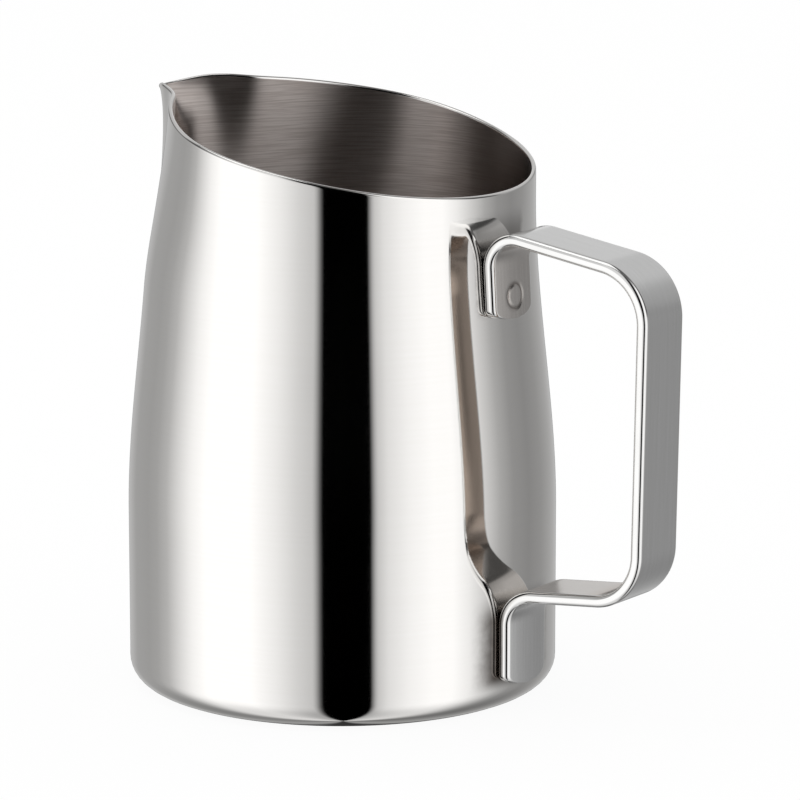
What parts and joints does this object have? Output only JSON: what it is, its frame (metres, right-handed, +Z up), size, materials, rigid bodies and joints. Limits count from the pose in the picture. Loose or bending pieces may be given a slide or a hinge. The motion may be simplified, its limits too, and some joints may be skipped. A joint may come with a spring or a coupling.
{
  "type": "milk frothing pitcher",
  "caption": "Steel milk frothing pitcher: necked cup with slanted rim and pressed pouring spout, and a flat strip loop handle spot-welded to the wall",
  "frame": {"origin": "centre of the flat base, on the cup's axis", "axes": "+Z up along the cup's axis, handle along +X, spout along -X, +Y completes the right-handed frame"},
  "size_m": [0.1205, 0.085, 0.1173],
  "materials": {
    "polished_steel": "mirror polished outside, brushed satin inside",
    "satin_steel": "fine satin faces with polished edges",
    "weld_steel": "matt, slightly discoloured by heat"
  },
  "bodies": {
    "root": {"cup_shell": "polished_steel", "handle_strip": "satin_steel", "upper_weld": "weld_steel", "lower_weld": "weld_steel"}
  },
  "joints": []
}
